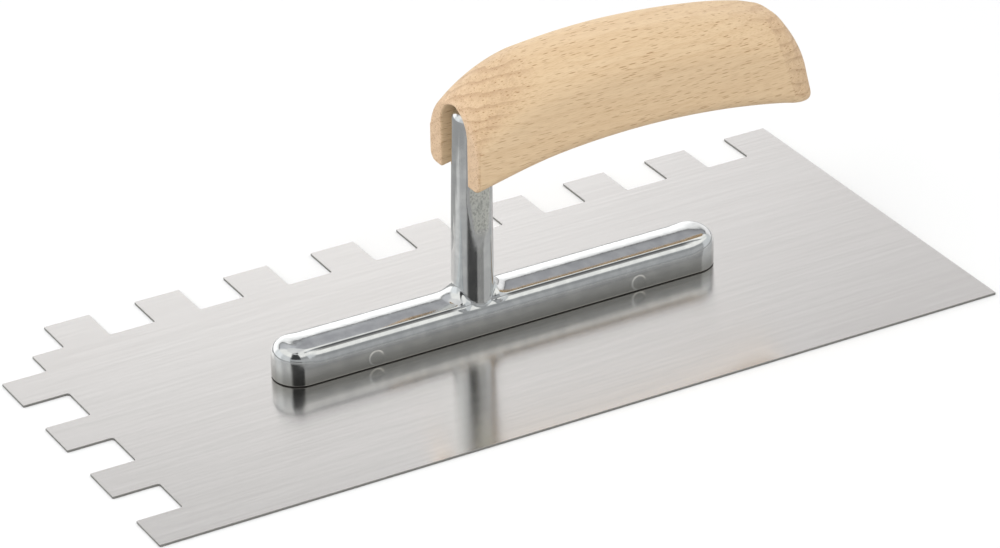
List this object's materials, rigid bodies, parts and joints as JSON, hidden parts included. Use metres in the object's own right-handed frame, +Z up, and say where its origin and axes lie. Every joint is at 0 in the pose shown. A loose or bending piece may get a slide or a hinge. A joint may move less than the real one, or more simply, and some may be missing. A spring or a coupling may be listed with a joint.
{
  "type": "notched trowel",
  "caption": "Hand trowel for spreading adhesive: flat steel blade toothed along one long and one short edge, cast aluminium mounting, bowed beech handle.",
  "frame": {"origin": "middle of the blade's underside, halfway along its length and width over the teeth", "axes": "+X along the blade, from the toothed short edge to the plain short edge; +Y across the blade, towards the toothed long edge; +Z up, towards the handle"},
  "size_m": [0.28, 0.13, 0.0872],
  "materials": {
    "blade_steel": "fine brushed lines along the blade",
    "cast_aluminium": "polished die casting, soft sheen with a matt as-cast patch on the post",
    "beech": "sanded, oiled, fine dark flecks along the grain",
    "rivet_aluminium": "flush ground",
    "screw_steel": "zinc plated"
  },
  "bodies": {
    "root": {"blade": "blade_steel", "bracket": "cast_aluminium", "handle": "beech", "handle_screw": "screw_steel", "rivet_1": "rivet_aluminium", "rivet_2": "rivet_aluminium", "rivet_3": "rivet_aluminium", "rivet_4": "rivet_aluminium", "rivet_5": "rivet_aluminium", "rivet_6": "rivet_aluminium"}
  },
  "joints": []
}
